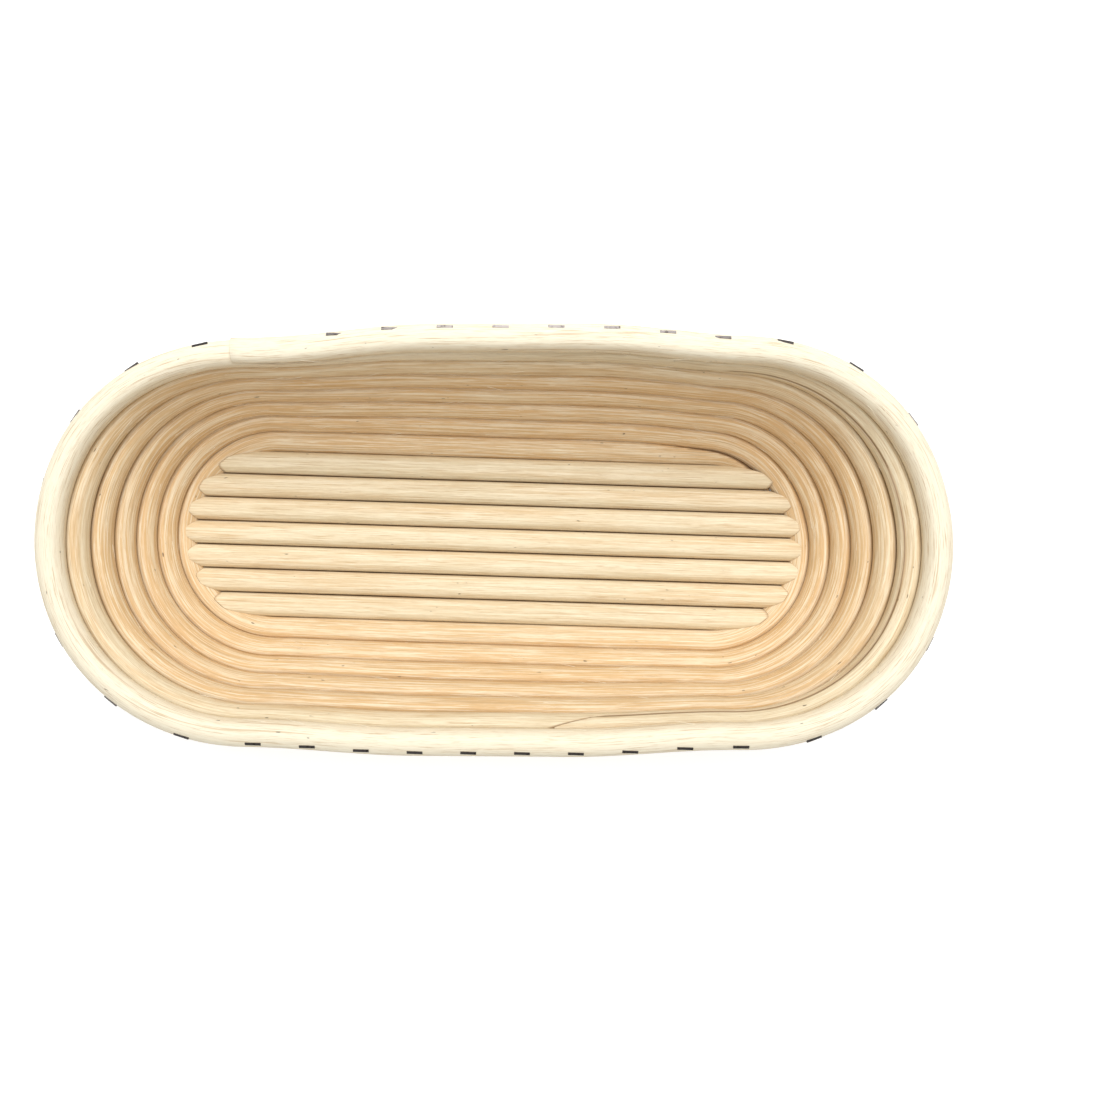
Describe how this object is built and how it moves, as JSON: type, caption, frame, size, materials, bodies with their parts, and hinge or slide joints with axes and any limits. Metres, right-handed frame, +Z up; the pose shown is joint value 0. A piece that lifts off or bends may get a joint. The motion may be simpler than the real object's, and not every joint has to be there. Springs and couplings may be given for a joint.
{
  "type": "oval banneton proofing basket",
  "caption": "Oval coiled rattan-cane proofing basket for bread dough, with a floor of straight canes and a stapled coiled wall.",
  "frame": {"origin": "on the table, under the middle of the basket's outline", "axes": "+X along the basket's length, +Y across it towards the side where the coil ends, +Z up"},
  "size_m": [0.3334, 0.1552, 0.0675],
  "materials": {
    "rattan_floor": "bare sanded rattan cane, matt, with fine lengthwise fibres",
    "rattan_wall": "bare sanded rattan cane, matt, with fine lengthwise fibres",
    "staple_steel": "dull galvanised steel wire"
  },
  "bodies": {
    "root": {"floor_cane_1": "rattan_floor", "floor_cane_2": "rattan_floor", "floor_cane_3": "rattan_floor", "floor_cane_4": "rattan_floor", "floor_cane_5": "rattan_floor", "floor_cane_6": "rattan_floor", "floor_cane_7": "rattan_floor", "wall_cane_lower": "rattan_wall", "wall_cane_upper": "rattan_wall", "rim_staple_1": "staple_steel", "rim_staple_2": "staple_steel", "rim_staple_3": "staple_steel", "rim_staple_4": "staple_steel", "rim_staple_5": "staple_steel", "rim_staple_6": "staple_steel", "rim_staple_7": "staple_steel", "rim_staple_8": "staple_steel", "rim_staple_9": "staple_steel", "rim_staple_10": "staple_steel", "rim_staple_11": "staple_steel", "rim_staple_12": "staple_steel", "rim_staple_13": "staple_steel", "rim_staple_14": "staple_steel", "rim_staple_15": "staple_steel", "rim_staple_16": "staple_steel", "rim_staple_17": "staple_steel", "rim_staple_18": "staple_steel", "rim_staple_19": "staple_steel", "rim_staple_20": "staple_steel", "rim_staple_21": "staple_steel", "rim_staple_22": "staple_steel", "rim_staple_23": "staple_steel", "rim_staple_24": "staple_steel", "rim_staple_25": "staple_steel", "rim_staple_26": "staple_steel", "rim_staple_27": "staple_steel", "rim_staple_28": "staple_steel", "rim_staple_29": "staple_steel", "rim_staple_30": "staple_steel", "rim_staple_31": "staple_steel", "rim_staple_32": "staple_steel", "rim_staple_33": "staple_steel", "rim_staple_34": "staple_steel", "floor_staple_1_1": "staple_steel", "floor_staple_1_2": "staple_steel", "floor_staple_1_3": "staple_steel", "floor_staple_1_4": "staple_steel", "floor_staple_1_5": "staple_steel", "floor_staple_1_6": "staple_steel", "floor_staple_1_7": "staple_steel", "floor_staple_1_8": "staple_steel", "floor_staple_2_1": "staple_steel", "floor_staple_2_2": "staple_steel", "floor_staple_2_3": "staple_steel", "floor_staple_2_4": "staple_steel", "floor_staple_2_5": "staple_steel", "floor_staple_2_6": "staple_steel", "floor_staple_2_7": "staple_steel", "floor_staple_2_8": "staple_steel"}
  },
  "joints": []
}
